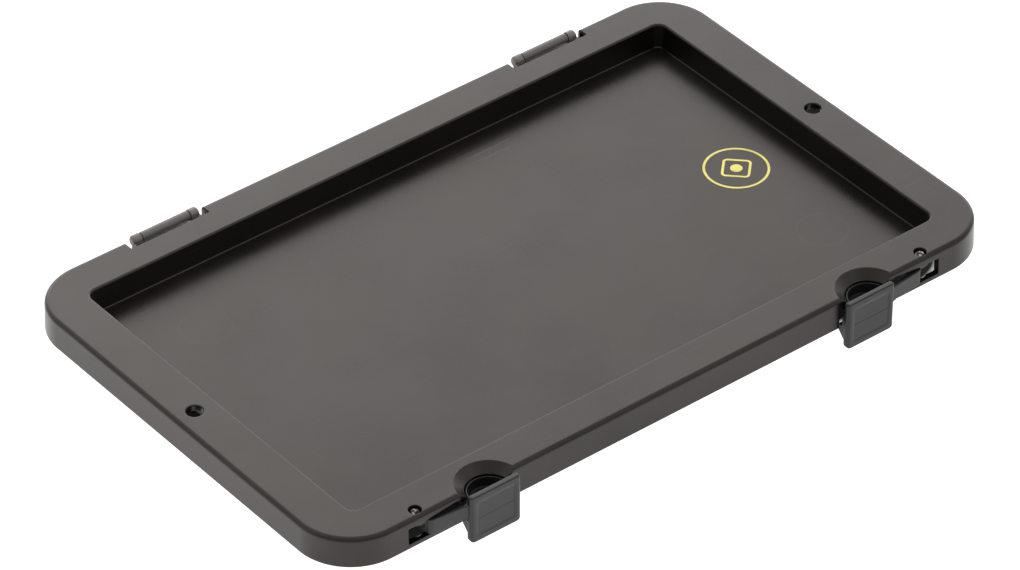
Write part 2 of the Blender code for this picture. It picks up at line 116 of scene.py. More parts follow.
# Latch pins.
LATCH_PIN_X = abs(JOINTS["right_latch_swing"]["pos_m"][0] - ORIGIN.x) / MM
LATCH_PIN_Y = (JOINTS["right_latch_swing"]["pos_m"][1] - ORIGIN.y) / MM
LATCH_PIN_RADIUS = 1.95
LATCH_PIN_HOLE = 2.3
LATCH_PIN_TOP = 0.35
LATCH_PIN_SHOULDER = 0.95
LATCH_PIN_BOTTOM = 5.6
LATCH_PIN_ROUND = 0.2
LATCH_PIN_SLOT = 0.4
LATCH_PIN_SLOT_DEPTH = 0.5
LATCH_PIN_SLOT_TURN = 51.0

# Latches: pull plate, arm with an eye, finger cup and hook.
PLATE_NEAR = 73.8
PLATE_FAR = 95.9
PLATE_FRONT = -96.7
PLATE_BACK = -94.3
PLATE_TOP = 0.5
PLATE_BOTTOM = 20.4
PLATE_CORNER = 2.2
PLATE_TOP_CORNER = 1.2
PLATE_SIDE_ROUND = 1.5
PLATE_EDGE_ROUND = 0.55
PLATE_BORDER = 2.3
PLATE_FIELD_DEPTH = 0.22
PLATE_FIELD_SLOPE = 0.9
PLATE_FIELD_EDGE = 0.81
PLATE_FIELD_ROUND = 1.9
PLATE_CREASE_Z = -10.2
PLATE_CREASE_WIDTH = 0.35
PLATE_CREASE_DEPTH = 0.05
ARM_TOP = 3.8
ARM_BOTTOM = 9.9
ARM_THICKNESS = 1.8
ARM_ROOT_FRONT = -95.5
ARM_END_X = 111.7
ARM_TIP_FRONT = -93.6
ARM_END_BACK = -85.7
ARM_BEND = 2.4
ARM_ROUND = 0.3
ARM_GUSSET = 1.8
ARM_GUSSET_ROUND = 1.764
EYE_RADIUS = 3.0
EYE_BOTTOM = 5.2
CUP_RADIUS = 8.05
CUP_WALL = 1.0
CUP_TOP = 3.4
CUP_EDGE = 0.45
CUP_ROUND = 0.12
CUP_FLOOR = 7.2
CUP_FLOOR_THICKNESS = 1.8
CUP_BOTTOM = 12.0
CUP_ROOT = 0.5
HOOK_NEAR = 75.6
HOOK_FAR = 94.2
HOOK_TOP = 8.2
HOOK_BOTTOM = 18.5
HOOK_WEB_BACK = -91.6
HOOK_NOSE_BACK = -89.4
HOOK_NOSE_TOP = 13.0
HOOK_NOSE_LOW = 15.0
HOOK_NOSE_ROUND = 0.7

# Hinges: notches in the back rim, knuckles, clips and their pins.
NOTCH_X = 87.4
NOTCH_SHIFT = 0.7
NOTCH_HALF = 17.3
NOTCH_FRONT = 87.8
NOTCH_WALL = 2.0
NOTCH_WALL_DEPTH = 7.5
NOTCH_ROUND = 0.5
HINGE_Y = (JOINTS["right_clip_turn"]["pos_m"][1] - ORIGIN.y) / MM
HINGE_Z = (JOINTS["right_clip_turn"]["pos_m"][2] - ORIGIN.z) / MM
HINGE_HALF = 14.6
KNUCKLE_RADIUS = 2.2
KNUCKLE_LENGTH = 3.8
KNUCKLE_DOME = 1.25
KNUCKLE_INNER_ROUND = 0.25
KNUCKLE_WEB_DEPTH = 5.8
KNUCKLE_WEB_INSET = 0.15
KNUCKLE_BLIND = 1.3
BARREL_RADIUS = 2.0
BARREL_GAP = 0.4
BARREL_ROUND = 0.3
LEAF_INSET = 0.05
HINGE_PIN_RADIUS = 0.75
HINGE_PIN_ROUND = 0.1875
HINGE_BORE_RADIUS = 1.05
HINGE_PIN_SETBACK = 0.3
CLIP_FRONT = 92.8
CLIP_BACK = 94.4
CLIP_BOTTOM = 19.5
CLIP_BARB_FRONT = 90.2
CLIP_BARB_TOP = 13.6
CLIP_BARB_LOW = 15.2
CLIP_BARB_ROUND = 0.25
CLIP_ROUND = 0.5
CLIP_WINDOW_HALF = 5.0
CLIP_WINDOW_TOP = 6.0
CLIP_WINDOW_BOTTOM = 11.2

# Painted light on the upper side of the hinges, made paler as if lit from above: how far from the axis,
# how far along it, and the heights over it between which the painted paleness grows.
HINGE_PAINTED_LIGHT_REACH = 2.45
HINGE_PAINTED_LIGHT_HALF = 16.3
HINGE_PAINTED_LIGHT_LOW = -1.8
HINGE_PAINTED_LIGHT_HIGH = 0.6

# Faint rings that the moulding left on the recess floor.
GATE_RING_RADIUS = 9.4
GATE_RING_PLACES = ((104.1, -48.1), (-102.9, 45.1))
TRACE_WIDTH = 0.22
TRACE_STRENGTH = 0.30

# Printed mark on the floor of the recess: a plain ring around a plain diamond and dot.
MARK_X = 103.7
MARK_Y = -0.7
MARK_RADIUS = 11.9
MARK_LINE = 0.95
MARK_DIAMOND = 7.6
MARK_DOT = 2.3
MARK_THICKNESS = 0.05

# How finely shapes are divided, and how far one runs on past what it cuts or joins.
CORNER_STEPS = 28
EDGE_STEPS = 5
ROUND_STEPS = 96
SMALL_STEPS = 48
SMALLEST_CORNER = 0.3
PAST = 1.0
LIFT = 0.002
WELD_DISTANCE = 1e-4
SHARP_ANGLE = 32.0
SOFTEN_ANGLE = 40.0
SOFTEN_SEGMENTS = 3
NORMAL_WEIGHT = 60

# Colours and roughness of the plastics: plain; where worn, which on edges also paints a highlight; and
# painted light on the hinges' upper side.
PANEL_COLOUR = (0.0036, 0.0031, 0.0028)
PANEL_WEAR_AND_HIGHLIGHT = (0.075, 0.065, 0.059)
PANEL_PAINTED_LIGHT = (0.185, 0.162, 0.150)
PANEL_ROUGHNESS = 0.30
FITTING_COLOUR = (0.0090, 0.0088, 0.0088)
FITTING_WEAR_AND_HIGHLIGHT = (0.07, 0.07, 0.07)
FITTING_ROUGHNESS = 0.40
# The clip is the panel's dark plastic; its paler colour here is painted light on the barrel.
CLIP_COLOUR_WITH_PAINTED_LIGHT = (0.0180, 0.0170, 0.0165)
CLIP_WEAR_AND_HIGHLIGHT = (0.10, 0.095, 0.09)
CLIP_PAINTED_LIGHT = (0.135, 0.124, 0.118)
CLIP_ROUGHNESS = 0.45

# Reflection tints of the plastics, each from its cooler patches to its warmer ones.
WARM_SHEEN = ((0.96, 0.89, 0.85), (1.0, 0.86, 0.79))
COOL_SHEEN = ((0.95, 0.95, 0.97), (0.98, 0.95, 0.93))

# Noises, each as its scale over a metre, its detail and its roughness.
CLOUD_NOISE = (28.0, 3.0, 0.55)
SMUDGE_NOISE = (16.0, 4.0, 0.6)
PATCH_NOISE = (45.0, 2.0, 0.55)
RIPPLE_NOISE = (420.0, 3.0, 0.55)
GRAIN_NOISE = (2600.0, 2.0, 0.55)
STREAK_NOISE = (1.0, 2.0, 0.55)
WIRE_LINE_NOISE = (1.0, 3.0, 0.55)
WIRE_SPOT_NOISE = (900.0, 3.0, 0.55)
INK_CLOUD_NOISE = (160.0, 3.0, 0.55)
INK_COVER_NOISE = (1500.0, 4.0, 0.55)

# Stretches of a noise's values, wide or narrow, that most of the surface falls in.
WIDE_MIDDLE = (0.3, 0.7)
NARROW_MIDDLE = (0.35, 0.65)

# Bumps, each as its strength and its height in millimetres.
GRAIN_BUMP = (0.22, 0.02)
RIPPLE_BUMP = (0.10, 0.05)
WIRE_BUMP = (0.3, 0.01)
INK_BUMP = (0.25, 0.02)

# Plastic: scuff lines in patches, and how strongly they show.
STREAK_TURN = (0.2, 0.3, 0.6)
STREAK_STRETCH = (30.0, 900.0, 900.0)
STREAK_RANGE = (0.66, 0.74)
PATCH_RANGE = (0.52, 0.68)
SCUFF_STRENGTH = 0.15
SCUFF_SHINE = 0.08

# Plastic: softened and worn edges, whose pale wear is also a painted highlight along them. The range is
# of the cosine between the two normals.
SOFT_EDGE_RADIUS = 0.35
SOFT_EDGE_SAMPLES = 6
EDGE_RANGE = (0.80, 0.985)
EDGE_COVER = (0.15, 0.9)
EDGE_WEAR_AND_HIGHLIGHT_STRENGTH = 0.50

# Plastic: how far tone and roughness swing.
TONE_SWING = 0.14
ROUGHNESS_SWING = 0.035
GRAIN_ROUGHNESS = 0.03

# Plastic: specular level from left to right, and what front to back, floor to rim and the
# patches add to it. The three ramps are painted light: brighter reflections to the left, the back and
# the rim, dimmer to the right, the front and on the recess floor.
PAINTED_LEVEL_ALONG = (0.56, 0.44)
PAINTED_LEVEL_ACROSS = (-0.047, 0.047)
PAINTED_LEVEL_UP = (-0.03, 0.0)
LEVEL_DRIFT = (-0.035, 0.035)

# Steel of the pins: colours of the wire and of its spots, and how rough they are.
PIN_STEEL = (0.30, 0.29, 0.285)
PIN_STEEL_SPOT = (0.18, 0.17, 0.165)
BLACK_STEEL = (0.022, 0.018, 0.017)
BLACK_STEEL_SPOT = (0.34, 0.31, 0.30)
WIRE_STRETCH = (60.0, 5200.0, 5200.0)
WIRE_SPOT_RANGE = (0.50, 0.62)
WIRE_ROUGHNESS = (0.16, 0.30)
WIRE_SPOT_ROUGHNESS = (0.0, 0.12)
WIRE_DULL_RANGE = (0.4, 0.8)

# Ink of the mark: its colour, how far it darkens in clouds, and the pinholes in it.
INK_COLOUR = (0.97, 0.86, 0.19)
INK_CLOUD_TONE = 0.82
INK_PINHOLE = (0.10, 0.085, 0.03)
INK_PINHOLE_STRENGTH = 0.55
INK_PINHOLE_RANGE = (0.60, 0.74)
INK_ROUGHNESS = (0.42, 0.58)

# Camera and light. The world's stops run from the camera's side to the far side.
CAMERA_AZIMUTH = -38.691
CAMERA_ELEVATION = 37.938
CAMERA_DISTANCE = 2.1853
CAMERA_LENS = 218.16
CAMERA_SENSOR = 36.0
CAMERA_NEAREST = 0.05
CAMERA_FARTHEST = 60.0
CAMERA_AIM = ORIGIN + Vector((-11.89, -12.90, 0.0)) * MM
WORLD_STOPS = (
    (0.0, 0.60),
    (0.3, 0.65),
    (0.46, 1.15),
    (0.53, 0.80),
    (0.7, 0.95),
    (0.80, 1.2),
    (0.88, 2.1),
    (0.93, 3.0),
    (1.0, 3.3),
)
WORLD_LOW_LIGHT = 0.25
WORLD_LOW_RISE = 0.35
FLOOR_SIZE = 30.0
FLOOR_CELLS = 8
FLOOR_Z = -0.0002
FLOOR_COLOUR = (0.20, 0.20, 0.20)
FLOOR_ROUGHNESS = 0.9
FLOOR_GLOW = 1.25
# Painted shadow on the table: inside this rounded rectangle under the lid, the glow dies away and the
# dark grey table shows.
SHADE_HALF_LENGTH = 142.5
SHADE_HALF_WIDTH = 84.6
SHADE_BLUR = 4.0


def clean_mesh(mesh_data):
    """Weld doubled points and face everything outward."""
    bmesh.ops.remove_doubles(mesh_data, verts=mesh_data.verts, dist=WELD_DISTANCE)
    bmesh.ops.recalc_face_normals(mesh_data, faces=mesh_data.faces)


def shape(mesh_data):
    """Working object from a bmesh."""
    clean_mesh(mesh_data)
    mesh = bpy.data.meshes.new("shape")
    mesh_data.to_mesh(mesh)
    mesh_data.free()
    obj = bpy.data.objects.new("shape", mesh)
    bpy.context.scene.collection.objects.link(obj)
    return obj


def box(x, y, z):
    """Block between two limits along each axis."""
    size = Vector((x[1] - x[0], y[1] - y[0], z[1] - z[0]))
    middle = Vector((sum(x) / 2, sum(y) / 2, sum(z) / 2))
    mesh_data = bmesh.new()
    matrix = Matrix.Translation(middle) @ Matrix.Diagonal((*size, 1.0))
    bmesh.ops.create_cube(mesh_data, size=1.0, matrix=matrix)
    return shape(mesh_data)


def rounded(corners, steps=EDGE_STEPS):
    """Outline through (u, v, radius) corners, with each corner as an arc."""
    outline = []
    for index, (u, v, radius) in enumerate(corners):
        corner = Vector((u, v))
        if radius == 0:
            outline.append((u, v))
            continue
        before = (Vector(corners[index - 1][:2]) - corner).normalized()
        after = (Vector(corners[(index + 1) % len(corners)][:2]) - corner).normalized()
        half_angle = before.angle(after) / 2
        centre = corner + (before + after).normalized() * radius / math.sin(half_angle)
        first = corner + before * radius / math.tan(half_angle) - centre
        last = corner + after * radius / math.tan(half_angle) - centre
        sweep = math.atan2(first.cross(last), first.dot(last))
        for step in range(steps + 1):
            turned = Matrix.Rotation(sweep * step / steps, 2) @ first
            outline.append(tuple(centre + turned))
    return outline


def rounded_rectangle(half_x, half_y, radius):
    """Rounded rectangle about the origin, always with the same number of points."""
    outline = []
    for quarter, (sign_x, sign_y) in enumerate(((1, 1), (-1, 1), (-1, -1), (1, -1))):
        for step in range(CORNER_STEPS + 1):
            angle = math.radians(90 * quarter + 90 * step / CORNER_STEPS)
            x = sign_x * (half_x - radius) + radius * math.cos(angle)
            y = sign_y * (half_y - radius) + radius * math.sin(angle)
            outline.append((x, y))
    return outline


def loft(half_x, half_y, corner, profile):
    """Closed solid whose side follows a profile of (inset, height) round a rounded rectangle."""
    mesh_data = bmesh.new()
    rings = []
    for inset, height in profile:
        radius = max(corner - inset, SMALLEST_CORNER)
        outline = rounded_rectangle(half_x - inset, half_y - inset, radius)
        rings.append([mesh_data.verts.new((x, y, height)) for x, y in outline])
    for lower, upper in zip(rings, rings[1:]):
        for index in range(len(lower)):
            follow = (index + 1) % len(lower)
            mesh_data.faces.new((lower[index], lower[follow], upper[follow], upper[index]))
    mesh_data.faces.new(rings[0])
    mesh_data.faces.new(rings[-1])
    return shape(mesh_data)


def lathe(profile, centre, axis="Z", steps=ROUND_STEPS):
    """Solid turned from a profile of (radius, height) that starts and ends on the axis."""
    mesh_data = bmesh.new()
    rings = []
    for radius, height in profile:
        if radius == 0:
            rings.append([mesh_data.verts.new((0, 0, height))])
            continue
        angles = [2 * math.pi * step / steps for step in range(steps)]
        points = [(radius * math.cos(angle), radius * math.sin(angle), height) for angle in angles]
        rings.append([mesh_data.verts.new(point) for point in points])
    for lower, upper in zip(rings, rings[1:]):
        for index in range(steps):
            follow = (index + 1) % steps
            loop = [lower[index % len(lower)], lower[follow % len(lower)]]
            loop += [upper[follow % len(upper)], upper[index % len(upper)]]
            mesh_data.faces.new(list(dict.fromkeys(loop)))
    turn = Matrix.Rotation(math.pi / 2, 4, "Y") if axis == "X" else Matrix.Identity(4)
    bmesh.ops.transform(mesh_data, matrix=Matrix.Translation(centre) @ turn, verts=mesh_data.verts)
    return shape(mesh_data)


def prism(outline, axis, limits):
    """Flat outline square to an axis, thickened between two limits along it."""
    place = {
        "X": lambda u, v, w: (w, u, v),
        "Y": lambda u, v, w: (u, w, v),
        "Z": lambda u, v, w: (u, v, w),
    }[axis]
    mesh_data = bmesh.new()
    ends = [[mesh_data.verts.new(place(u, v, w)) for u, v in outline] for w in limits]
    for index in range(len(outline)):
        follow = (index + 1) % len(outline)
        mesh_data.faces.new((ends[0][index], ends[0][follow], ends[1][follow], ends[1][index]))
    mesh_data.faces.new(ends[0])
    mesh_data.faces.new(ends[1])
    return shape(mesh_data)


def apply_modifiers(obj):
    """Replace an object's mesh by the evaluated one."""
    bpy.context.view_layer.update()
    depsgraph = bpy.context.evaluated_depsgraph_get()
    mesh = bpy.data.meshes.new_from_object(obj.evaluated_get(depsgraph))
    obj.modifiers.clear()
    old = obj.data
    obj.data = mesh
    bpy.data.meshes.remove(old)


def combine(target, tools, operation):
    """Boolean tools into a target and use them up."""
    for tool in tools:
        modifier = target.modifiers.new("combine", "BOOLEAN")
        modifier.operation = operation
        modifier.solver = "EXACT"
        modifier.object = tool
        apply_modifiers(target)
        bpy.data.objects.remove(tool, do_unlink=True)
    return target


def add(target, *tools):
    """Union tools with a target."""
    return combine(target, tools, "UNION")


def cut(target, *tools):
    """Subtract tools from a target."""
    return combine(target, tools, "DIFFERENCE")


def keep(target, *tools):
    """Keep only what a target shares with tools."""
    return combine(target, tools, "INTERSECT")


def soften(obj, width):
    """Round the sharp edges of a simple solid."""
    modifier = obj.modifiers.new("soften", "BEVEL")
    modifier.width = width
    modifier.segments = SOFTEN_SEGMENTS
    modifier.limit_method = "ANGLE"
    modifier.angle_limit = math.radians(SOFTEN_ANGLE)
    apply_modifiers(obj)
    return obj


def place_piece(obj, name, material, body, replaces=()):
    obj.name = name
    obj.data.name = name
    obj.data.transform(Matrix.Translation(ORIGIN) @ Matrix.Scale(MM, 4))
    obj.data.materials.clear()
    obj.data.materials.append(material)
    obj.data.shade_smooth()
    obj.data.set_sharp_from_angle(angle=math.radians(SHARP_ANGLE))
    modifier = obj.modifiers.new("even_normals", "WEIGHTED_NORMAL")
    modifier.keep_sharp = True
    modifier.weight = NORMAL_WEIGHT
    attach(obj, body)
    if replaces:
        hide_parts(*replaces)
    return obj


def side_name(side):
    """Word that ends the names of the pieces on one side."""
    return "right" if side > 0 else "left"


def span(side, near, far):
    """Limits along X of something between two distances on one side."""
    return tuple(sorted((side * near, side * far)))


def mirrored(side, outline):
    """Outline drawn for the right side, turned over for the left one."""
    return [(side * point[0], *point[1:]) for point in outline]


def hinge_middle(side):
    """Middle of the hinge along X on one side."""
    return (JOINTS[side_name(side) + "_clip_turn"]["pos_m"][0] - ORIGIN.x) / MM


def panel_shell():
    """Rim and skirt with the dished floor, hollow underneath."""
    half_x = LID_LENGTH / 2
    half_y = LID_WIDTH / 2
    outer = rounded([
        (2 * SKIRT_LIP, -SKIRT_HEIGHT, 0),
        (0, -SKIRT_HEIGHT, SKIRT_LIP),
        (SKIRT_DRAFT, 0, TOP_FILLET),
        (3 * TOP_FILLET, 0, 0),
    ], 2 * EDGE_STEPS)
    shell = loft(half_x, half_y, CORNER_RADIUS, outer)
    hollow = rounded([
        (WALL, -SKIRT_HEIGHT - PAST, 0),
        (WALL + SKIRT_DRAFT, -WALL, INNER_FILLET),
        (4 * WALL, -WALL, 0),
    ])
    cut(shell, loft(half_x, half_y, CORNER_RADIUS, hollow))

    half_x = RECESS_LENGTH / 2
    half_y = RECESS_WIDTH / 2
    tray = rounded([
        (2 * TRAY_FILLET, -RECESS_DEPTH - WALL, 0),
        (RECESS_DRAFT - WALL, -RECESS_DEPTH - WALL, TRAY_FILLET),
        (-WALL, -WALL / 2, 0),
    ])
    add(shell, loft(half_x, half_y, RECESS_CORNER, tray))
    recess = rounded([
        (RECESS_DRAFT + 2 * RECESS_FILLET, -RECESS_DEPTH, 0),
        (RECESS_DRAFT, -RECESS_DEPTH, RECESS_FILLET),
        (-RECESS_LIP, LIFT, RECESS_EDGE),
        (-4 * RECESS_EDGE, LIFT, 0),
    ])[:-1]
    recess.append((recess[-1][0], PAST))
    cut(shell, loft(half_x, half_y, RECESS_CORNER, recess))
    return shell


def flared(radius, low, edge):
    """Profile of a round cutter from a depth up through the top face, with a rounded edge."""
    profile = rounded([(0, low, 0), (radius, low, 0), (radius, LIFT, edge), (3 * radius, LIFT, 0)])[:-1]
    return profile + [(profile[-1][0], PAST), (0, PAST)]


def latch_seat(shell, side):
    """Finger dish, skirt openings and pin boss for the latch on one side."""
    x = side * DISH_X
    band = (FRONT - PAST, FRONT + WALL + PAST)
    opening_z = (-SKIRT_HEIGHT - PAST, -WALL - SEAT_STEP)
    cut(shell, box(span(side, OPENING_NEAR, OPENING_FAR), band, opening_z))

    seat = lathe([
        (0, -DISH_WELL_DEPTH),
        (DISH_LOW_RADIUS + DISH_WALL, -DISH_WELL_DEPTH),
        (DISH_TOP_RADIUS + DISH_WALL, -TOP_FILLET + SEAT_STEP),
        (0, -TOP_FILLET + SEAT_STEP),
    ], (x, DISH_Y, 0))
    trim = 2 * DISH_TOP_RADIUS
    cut(seat, box((x - trim, x + trim), (FRONT - trim, FRONT + SKIRT_DRAFT + SEAT_STEP), (-trim, trim)))
    window = rounded(mirrored(side, [
        (WINDOW_NEAR, -WINDOW_BOTTOM, 0),
        (WINDOW_FAR, -WINDOW_BOTTOM, WINDOW_ROUND),
        (WINDOW_FAR, -WINDOW_TOP, WINDOW_ROUND),
        (WINDOW_BEND, -WINDOW_TOP, WINDOW_ROUND),
        (WINDOW_PEAK, -WINDOW_PEAK_TOP, 0),
        (WINDOW_STEP, -WINDOW_TOP, 0),
        (WINDOW_NEAR, -WINDOW_TOP, 0),
    ]))
    add(shell, seat)
    cut(shell, prism(window, "Y", band))

    boss_y = (FRONT + WALL / 2, BOSS_BACK)
    add(shell, box(span(side, BOSS_NEAR, BOSS_FAR), boss_y, (-WINDOW_TOP + SEAT_STEP, -WALL / 2)))

    dish = rounded([
        (0, -DISH_WELL_DEPTH - PAST, 0),
        (DISH_LOW_RADIUS, -DISH_WELL_DEPTH - PAST, 0),
        (DISH_LOW_RADIUS, -DISH_DEPTH, DISH_EDGE),
        (DISH_TOP_RADIUS, LIFT, DISH_EDGE),
        (3 * DISH_TOP_RADIUS, LIFT, 0),
    ])[:-1]
    dish += [(dish[-1][0], PAST), (0, PAST)]
    cut(shell, lathe(dish, (x, DISH_Y, 0)))
    pin_hole = flared(LATCH_PIN_HOLE, -SKIRT_HEIGHT - PAST, DISH_EDGE)
    cut(shell, lathe(pin_hole, (side * LATCH_PIN_X, LATCH_PIN_Y, 0), steps=SMALL_STEPS))


def knuckle_profile(start, end, start_round, end_round):
    """Profile of a rod on the hinge axis with its two ends rounded."""
    return rounded([
        (0, start, 0),
        (KNUCKLE_RADIUS, start, start_round),
        (KNUCKLE_RADIUS, end, end_round),
        (0, end, 0),
    ])


def hinge_seat(shell, side):
    """Notch in the back rim with its two bored knuckles."""
    start = side * NOTCH_X + NOTCH_SHIFT - NOTCH_HALF
    end = start + 2 * NOTCH_HALF
    notch = rounded([
        (start, BACK + PAST, 0),
        (start, NOTCH_FRONT, NOTCH_ROUND),
        (end, NOTCH_FRONT, NOTCH_ROUND),
        (end, BACK + PAST, 0),
    ])
    cut(shell, prism(notch, "Z", (-SKIRT_HEIGHT - PAST, PAST)))
    wall_z = (-NOTCH_WALL_DEPTH, -WALL / 2)
    front_y = (NOTCH_FRONT - NOTCH_WALL, NOTCH_FRONT)
    end_y = (NOTCH_FRONT - NOTCH_WALL / 2, BACK - WALL / 2)
    add(shell, box((start - NOTCH_WALL, end + NOTCH_WALL), front_y, wall_z))
    add(shell, box((start - NOTCH_WALL, start), end_y, wall_z))
    add(shell, box((end, end + NOTCH_WALL), end_y, wall_z))

    middle = hinge_middle(side)
    first = (middle - HINGE_HALF, middle - HINGE_HALF + KNUCKLE_LENGTH)
    last = (middle + HINGE_HALF - KNUCKLE_LENGTH, middle + HINGE_HALF)
    axis_point = (0, HINGE_Y, HINGE_Z)
    knuckles = (
        (first, (KNUCKLE_DOME, KNUCKLE_INNER_ROUND)),
        (last, (KNUCKLE_INNER_ROUND, KNUCKLE_DOME)),
    )
    for limits, rounds in knuckles:
        web_x = (limits[0] + KNUCKLE_WEB_INSET, limits[1] - KNUCKLE_WEB_INSET)
        add(shell, box(web_x, (NOTCH_FRONT - NOTCH_WALL / 2, HINGE_Y), (-KNUCKLE_WEB_DEPTH, HINGE_Z)))
        add(shell, lathe(knuckle_profile(*limits, *rounds), axis_point, "X", SMALL_STEPS))
    bore_start = first[0] + KNUCKLE_BLIND
    bore_end = last[1] + PAST
    bore = [
        (0, bore_start),
        (HINGE_BORE_RADIUS, bore_start),
        (HINGE_BORE_RADIUS, bore_end),
        (0, bore_end),
    ]
    cut(shell, lathe(bore, axis_point, "X", SMALL_STEPS))


def build_panel(material):
    """The lid's one-piece moulding."""
    shell = panel_shell()
    for side in (-1, 1):
        latch_seat(shell, side)
        hinge_seat(shell, side)
        hole = flared(SEAL_HOLE_RADIUS, -WALL - PAST, SEAL_HOLE_EDGE)
        cut(shell, lathe(hole, (side * SEAL_HOLE_X, 0, 0), steps=SMALL_STEPS))
    place_piece(shell, "panel_moulding", material, "lid", ["lid_panel"])


def latch_plate(side):
    """Pull plate with rounded edges and a slightly sunken field."""
    face = rounded(mirrored(side, [
        (PLATE_NEAR, -PLATE_TOP, PLATE_TOP_CORNER),
        (PLATE_FAR, -PLATE_TOP, PLATE_TOP_CORNER),
        (PLATE_FAR, -PLATE_BOTTOM, PLATE_CORNER),
        (PLATE_NEAR, -PLATE_BOTTOM, PLATE_CORNER),
    ]), 2 * EDGE_STEPS)
    plate = prism(face, "Y", (PLATE_FRONT, PLATE_BACK))
    soften(plate, PLATE_EDGE_ROUND)
    plan = rounded(mirrored(side, [
        (PLATE_NEAR, PLATE_FRONT, PLATE_SIDE_ROUND),
        (PLATE_FAR, PLATE_FRONT, PLATE_SIDE_ROUND),
        (PLATE_FAR, PLATE_BACK + PAST, 0),
        (PLATE_NEAR, PLATE_BACK + PAST, 0),
    ]), 2 * EDGE_STEPS)
    keep(plate, prism(plan, "Z", (-PLATE_BOTTOM - PAST, PAST)))
    near = PLATE_NEAR + PLATE_BORDER
    far = PLATE_FAR - PLATE_BORDER
    top = -PLATE_TOP - PLATE_BORDER
    bottom = -PLATE_BOTTOM + PLATE_BORDER
    half_x = (far - near) / 2
    half_z = (top - bottom) / 2
    profile = rounded([
        (2 * PLATE_FIELD_SLOPE, -PLATE_FIELD_DEPTH, 0),
        (PLATE_FIELD_SLOPE, -PLATE_FIELD_DEPTH, PLATE_FIELD_EDGE),
        (0, 0, PLATE_FIELD_EDGE),
        (-PLATE_FIELD_SLOPE, LIFT, 0),
    ])
    profile.append((profile[-1][0], PAST))
    field = loft(half_x, half_z, PLATE_FIELD_ROUND, profile)
    middle = Vector((side * (near + far) / 2, PLATE_FRONT, (top + bottom) / 2))
    field.data.transform(Matrix.Translation(middle) @ Matrix.Rotation(math.pi / 2, 4, "X"))
    crease_x = span(side, near + PLATE_FIELD_SLOPE, far - PLATE_FIELD_SLOPE)
    crease_y = (PLATE_FRONT - PAST, PLATE_FRONT + PLATE_FIELD_DEPTH + PLATE_CREASE_DEPTH)
    crease = box(crease_x, crease_y, (PLATE_CREASE_Z - PLATE_CREASE_WIDTH, PLATE_CREASE_Z))
    return cut(plate, field, crease)


def latch_arm(side):
    """Springy arm, with a gusset at its root, that turns in to an eye under the rim."""
    start = PLATE_FAR - ARM_THICKNESS
    inner = ARM_END_X - ARM_THICKNESS
    outline = rounded(mirrored(side, [
        (start, ARM_ROOT_FRONT, 0),
        (ARM_END_X, ARM_TIP_FRONT, ARM_BEND),
        (ARM_END_X, ARM_END_BACK, 0),
        (inner, ARM_END_BACK, 0),
        (inner, ARM_TIP_FRONT + ARM_THICKNESS, ARM_BEND - ARM_THICKNESS),
        (start, ARM_ROOT_FRONT + ARM_THICKNESS, 0),
    ]), 2 * EDGE_STEPS)
    arm = soften(prism(outline, "Z", (-ARM_BOTTOM, -ARM_TOP)), ARM_ROUND)
    low = -ARM_BOTTOM - ARM_GUSSET
    gusset = rounded(mirrored(side, [
        (PLATE_FAR - PAST, -ARM_BOTTOM + PAST, 0),
        (PLATE_FAR - PAST, low, 0),
        (PLATE_FAR, low, 0),
        (PLATE_FAR, -ARM_BOTTOM, ARM_GUSSET_ROUND),
        (PLATE_FAR + ARM_GUSSET, -ARM_BOTTOM, 0),
        (PLATE_FAR + ARM_GUSSET, -ARM_BOTTOM + PAST, 0),
    ]))
    gusset_y = (ARM_ROOT_FRONT + ARM_ROUND, ARM_ROOT_FRONT + ARM_THICKNESS - ARM_ROUND)
    tab_x = span(side, inner + ARM_ROUND, LATCH_PIN_X)
    tab_y = (LATCH_PIN_Y - EYE_RADIUS, LATCH_PIN_Y + EYE_RADIUS)
    tab = box(tab_x, tab_y, (-EYE_BOTTOM, -ARM_TOP - SEAT_STEP))
    eye = lathe(rounded([
        (0, -EYE_BOTTOM, 0),
        (EYE_RADIUS, -EYE_BOTTOM, ARM_ROUND),
        (EYE_RADIUS, -ARM_TOP - SEAT_STEP, ARM_ROUND),
        (0, -ARM_TOP - SEAT_STEP, 0),
    ]), (side * LATCH_PIN_X, LATCH_PIN_Y, 0), steps=SMALL_STEPS)
    return add(arm, prism(gusset, "Y", gusset_y), tab, eye)


def latch_cup(side):
    """Half-round wall and floor that a finger tip goes into."""
    centre = (side * DISH_X, DISH_Y, 0)
    inner = CUP_RADIUS - CUP_WALL
    wall = lathe(rounded([
        (0, -CUP_BOTTOM, 0),
        (CUP_RADIUS, -CUP_BOTTOM, CUP_ROUND),
        (CUP_RADIUS, -CUP_TOP, CUP_EDGE),
        (CUP_RADIUS - CUP_EDGE - CUP_ROUND, -CUP_TOP, CUP_ROUND),
        (inner, -CUP_FLOOR, 2 * CUP_ROUND),
        (0, -CUP_FLOOR, 0),
    ]), centre)
    under = lathe([
        (0, -CUP_BOTTOM - PAST),
        (inner, -CUP_BOTTOM - PAST),
        (inner, -CUP_FLOOR - CUP_FLOOR_THICKNESS),
        (0, -CUP_FLOOR - CUP_FLOOR_THICKNESS),
    ], centre)
    cut(wall, under)
    reach = 2 * CUP_RADIUS
    front = (PLATE_BACK - CUP_ROOT, DISH_Y + reach)
    keep(wall, box((centre[0] - reach, centre[0] + reach), front, (-CUP_BOTTOM - PAST, 0)))
    return wall


